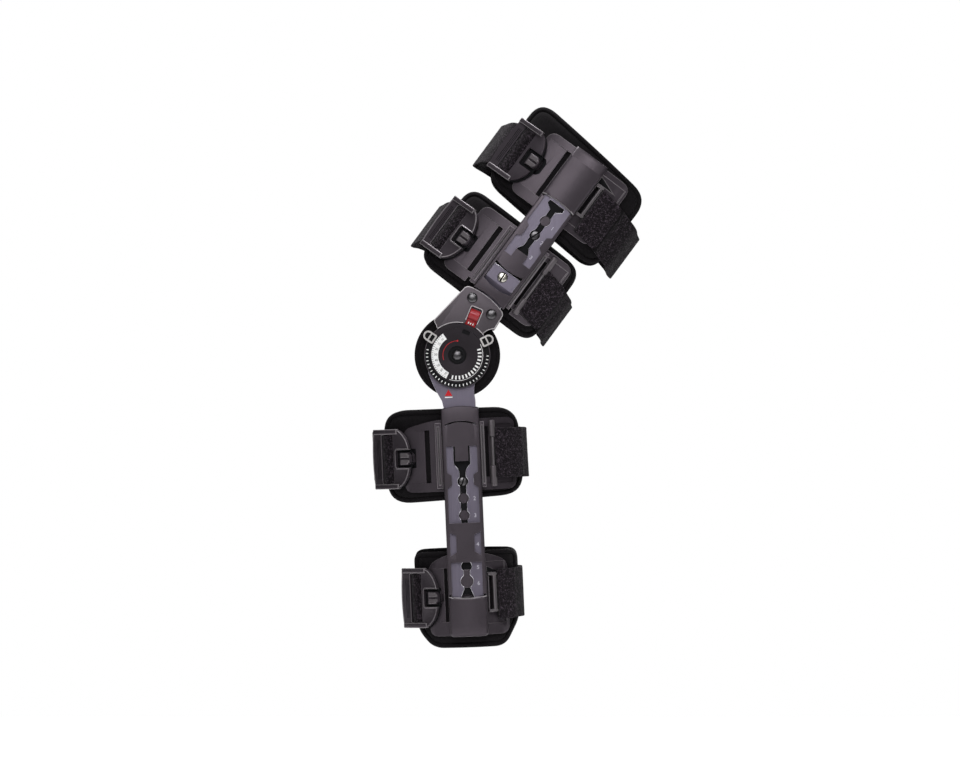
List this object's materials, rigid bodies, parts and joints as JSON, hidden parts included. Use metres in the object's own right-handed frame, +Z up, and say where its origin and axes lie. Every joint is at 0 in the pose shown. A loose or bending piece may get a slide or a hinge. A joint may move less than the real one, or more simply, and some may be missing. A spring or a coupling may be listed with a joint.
{
  "type": "hinged knee brace",
  "caption": "Hinged knee brace with telescoping side bars, a range-of-motion dial hinge with lock and stops, and padded strap cuffs for the thigh and calf.",
  "frame": {"origin": "middle of the knee, on the hinge axis halfway between the outer and inner hinge", "axes": "+X to the back of the leg, +Z up, -Y out of the outer side that carries the dial"},
  "size_m": [0.2727, 0.179, 0.5439],
  "materials": {
    "moulded_plastic": "satin moulded charcoal",
    "hinge_plastic": "fine grained charcoal",
    "dial_plastic": "smooth black",
    "bar_metal": "anodised grey with a violet cast",
    "rivet_steel": "turned",
    "foam_pad": "black laminated foam with a bound edge",
    "loop_strap": "black brushed loop",
    "red_plastic": "smooth red",
    "clip_plastic": "pale grey"
  },
  "bodies": {
    "thigh": {"condyle_pad_lateral": "foam_pad", "condyle_pad_medial": "foam_pad", "hinge_head": "hinge_plastic", "hinge_dial": "dial_plastic", "hinge_pivot": "rivet_steel", "rivet_front": "rivet_steel", "rivet_rear": "rivet_steel", "thigh_bar": "bar_metal", "thigh_channel": "moulded_plastic", "thigh_bar_screw": "rivet_steel", "thigh_lock_button": "rivet_steel", "medial_thigh_upright": "bar_metal", "medial_pivot": "rivet_steel", "thigh_lower_pad_lateral": "foam_pad", "thigh_lower_pad_medial": "foam_pad", "thigh_lower_shell_lateral": "moulded_plastic", "thigh_lower_shell_medial": "moulded_plastic", "thigh_lower_buckle": "moulded_plastic", "thigh_lower_front_strap": "loop_strap", "thigh_lower_rear_strap": "loop_strap"},
    "upper_cuff": {"thigh_plate": "bar_metal", "medial_thigh_plate": "bar_metal", "thigh_upper_pad_lateral": "foam_pad", "thigh_upper_pad_medial": "foam_pad", "thigh_upper_shell_lateral": "moulded_plastic", "thigh_upper_shell_medial": "moulded_plastic", "thigh_upper_buckle": "moulded_plastic", "thigh_upper_front_strap": "loop_strap", "thigh_upper_rear_strap": "loop_strap"},
    "shank": {"calf_bar": "bar_metal", "calf_channel": "moulded_plastic", "calf_lock_button": "rivet_steel", "medial_calf_upright": "bar_metal", "calf_upper_pad_lateral": "foam_pad", "calf_upper_pad_medial": "foam_pad", "calf_upper_shell_lateral": "moulded_plastic", "calf_upper_shell_medial": "moulded_plastic", "calf_upper_buckle": "moulded_plastic", "calf_upper_front_strap": "loop_strap", "calf_upper_rear_strap": "loop_strap"},
    "lower_cuff": {"calf_plate": "bar_metal", "medial_calf_plate": "bar_metal", "calf_lower_pad_lateral": "foam_pad", "calf_lower_pad_medial": "foam_pad", "calf_lower_shell_lateral": "moulded_plastic", "calf_lower_shell_medial": "moulded_plastic", "calf_lower_buckle": "moulded_plastic", "calf_lower_front_strap": "loop_strap", "calf_lower_rear_strap": "loop_strap"},
    "lock_slider": {"lock_slider": "red_plastic"},
    "front_stop": {"front_stop": "clip_plastic"},
    "rear_stop": {"rear_stop": "clip_plastic"}
  },
  "joints": [
    {"name": "knee_hinge", "type": "hinge", "parent": "thigh", "child": "shank", "pos_m": [0, 0, 0], "axis": [0, -1, 0], "range_deg": [-39, 51]},
    {"name": "thigh_telescope", "type": "slide", "parent": "thigh", "child": "upper_cuff", "axis": [0.5948, 0, 0.8039], "range_m": [0, 0.035]},
    {"name": "calf_telescope", "type": "slide", "parent": "shank", "child": "lower_cuff", "axis": [0.0436, 0, -0.999], "range_m": [0, 0.034]},
    {"name": "lock_slide", "type": "slide", "parent": "thigh", "child": "lock_slider", "axis": [-0.3907, 0, -0.9205], "range_m": [0, 0.006]},
    {"name": "front_stop_turn", "type": "hinge", "parent": "thigh", "child": "front_stop", "pos_m": [0, 0, 0], "axis": [0, -1, 0], "range_deg": [0, 90]},
    {"name": "rear_stop_turn", "type": "hinge", "parent": "thigh", "child": "rear_stop", "pos_m": [0, 0, 0], "axis": [0, -1, 0], "range_deg": [-120, 0]}
  ]
}
